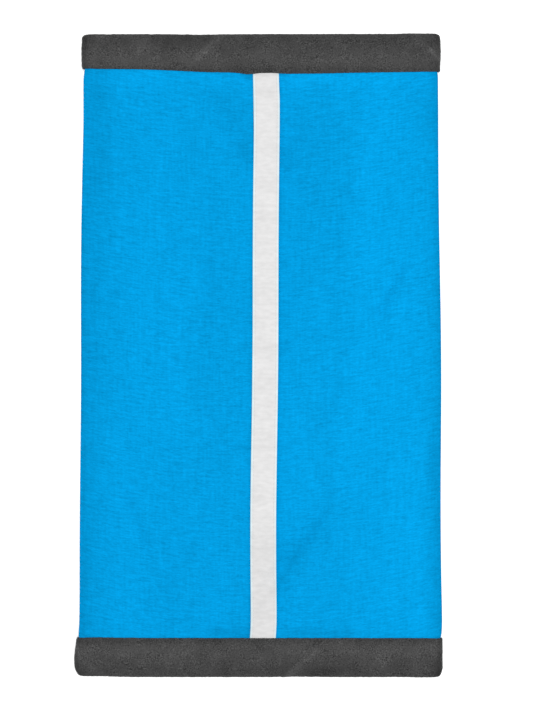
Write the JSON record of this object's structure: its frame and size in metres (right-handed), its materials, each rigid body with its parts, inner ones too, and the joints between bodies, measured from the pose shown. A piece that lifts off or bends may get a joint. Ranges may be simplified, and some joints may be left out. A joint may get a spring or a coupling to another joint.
{
  "type": "neck gaiter",
  "caption": "Tube-shaped neck gaiter laid flat: a jersey shell over a fleece lining, a folded fleece cuff at each end and a reflective tape down the front.",
  "frame": {"origin": "on the surface that the gaiter lies on, under the middle of its length and width", "axes": "+Y along the tube towards its upper, face end; +Z up, out of the front that carries the tape; +X across it, to the right when +Y is up"},
  "size_m": [0.2866, 0.5, 0.0172],
  "materials": {
    "blue_jersey": "matt brushed stretch jersey with fine crosswise crimps",
    "charcoal_fleece": "short pebbled polar fleece nap",
    "reflective_tape": "smooth woven tape, pale grey in diffuse light",
    "white_thread": "twisted polyester sewing thread",
    "blue_thread": "textured polyester overlock thread",
    "charcoal_thread": "twisted polyester sewing thread"
  },
  "bodies": {
    "root": {"shell_panel": "blue_jersey", "shell_seam_thread": "blue_thread", "upper_edge_overlock": "blue_thread", "lower_edge_overlock": "blue_thread", "fleece_lining": "charcoal_fleece", "lining_seam_thread": "charcoal_thread", "upper_cuff": "charcoal_fleece", "upper_cuff_join_thread": "charcoal_thread", "lower_cuff": "charcoal_fleece", "lower_cuff_join_thread": "charcoal_thread", "reflective_tape": "reflective_tape", "tape_stitch_left": "white_thread", "tape_stitch_right": "white_thread"}
  },
  "joints": []
}
